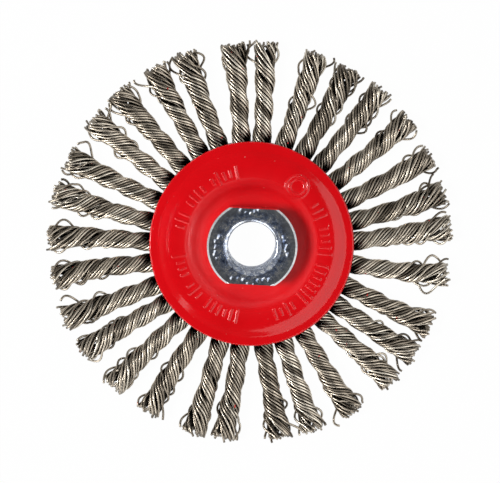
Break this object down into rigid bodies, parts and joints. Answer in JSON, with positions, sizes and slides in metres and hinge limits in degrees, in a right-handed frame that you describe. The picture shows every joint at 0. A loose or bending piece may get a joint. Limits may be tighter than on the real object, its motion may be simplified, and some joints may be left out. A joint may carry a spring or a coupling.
{
  "type": "wire wheel brush",
  "caption": "Flat wire wheel of twisted steel-wire knots between two red pressed covers, on a round threaded hub nut, for an angle grinder.",
  "frame": {"origin": "on the spindle axis, in the middle of the core plate's thickness", "axes": "+Z along the spindle axis, out of the nut's open face; +Y up in the picture, +X to its right"},
  "size_m": [0.1004, 0.1001, 0.0179],
  "materials": {
    "red_enamel": "gloss",
    "zinc_steel": "satin",
    "core_steel": "matte",
    "wire_steel": "satin"
  },
  "bodies": {
    "root": {"hub_nut": "zinc_steel", "front_cover": "red_enamel", "rear_cover": "red_enamel", "core_plate": "core_steel", "knot_01": "wire_steel", "knot_02": "wire_steel", "knot_03": "wire_steel", "knot_04": "wire_steel", "knot_05": "wire_steel", "knot_06": "wire_steel", "knot_07": "wire_steel", "knot_08": "wire_steel", "knot_09": "wire_steel", "knot_10": "wire_steel", "knot_11": "wire_steel", "knot_12": "wire_steel", "knot_13": "wire_steel", "knot_14": "wire_steel", "knot_15": "wire_steel", "knot_16": "wire_steel", "knot_17": "wire_steel", "knot_18": "wire_steel", "knot_19": "wire_steel", "knot_20": "wire_steel", "knot_21": "wire_steel", "knot_22": "wire_steel", "knot_23": "wire_steel", "knot_24": "wire_steel", "knot_25": "wire_steel", "knot_26": "wire_steel", "knot_27": "wire_steel", "knot_28": "wire_steel", "knot_29": "wire_steel", "knot_30": "wire_steel"}
  },
  "joints": []
}
